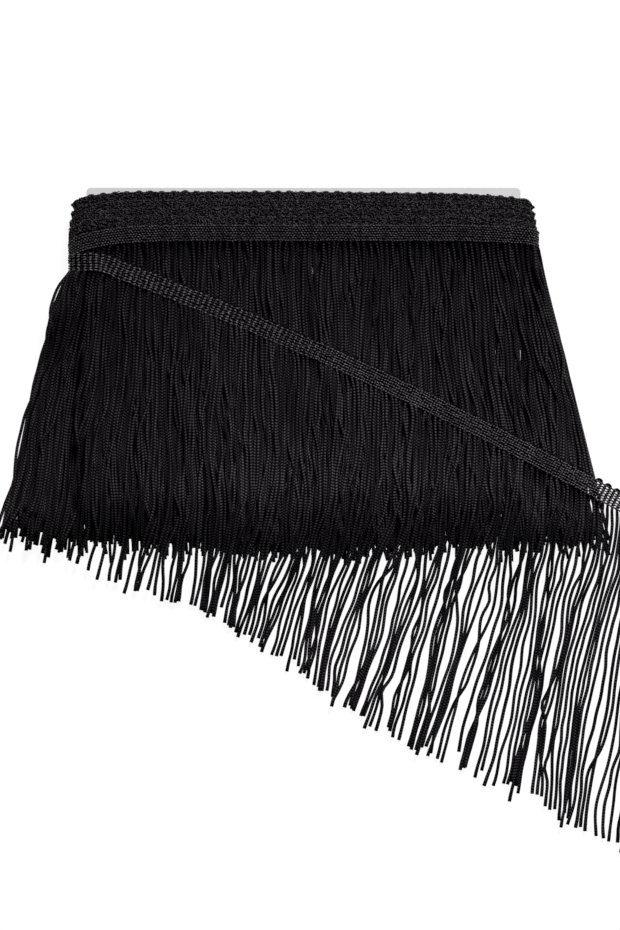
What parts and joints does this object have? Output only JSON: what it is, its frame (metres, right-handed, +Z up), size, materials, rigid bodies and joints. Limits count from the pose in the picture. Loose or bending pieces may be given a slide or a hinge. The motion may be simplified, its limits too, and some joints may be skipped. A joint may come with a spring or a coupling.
{
  "type": "fringe trim wound on a flat card",
  "caption": "Black knitted chain fringe on a braided heading, wound in turns round a flat white card, its loose end laid slanting across the front and off past the side.",
  "frame": {"origin": "on the surface that the bundle lies on, under the card's centre", "axes": "+X along the heading, +Y from the fringe's tips to the heading, +Z up from the surface"},
  "size_m": [0.3583, 0.3311, 0.0213],
  "materials": {
    "white_board": "uncoated white cardboard, matte",
    "black_heading": "black knitted rayon heading, soft sheen",
    "black_strand": "black knitted rayon chain cord, fine sheen"
  },
  "bodies": {
    "root": {"card": "white_board", "wound_heading": "black_heading", "wound_fringe": "black_strand", "loose_heading": "black_heading", "loose_fringe": "black_strand"}
  },
  "joints": []
}
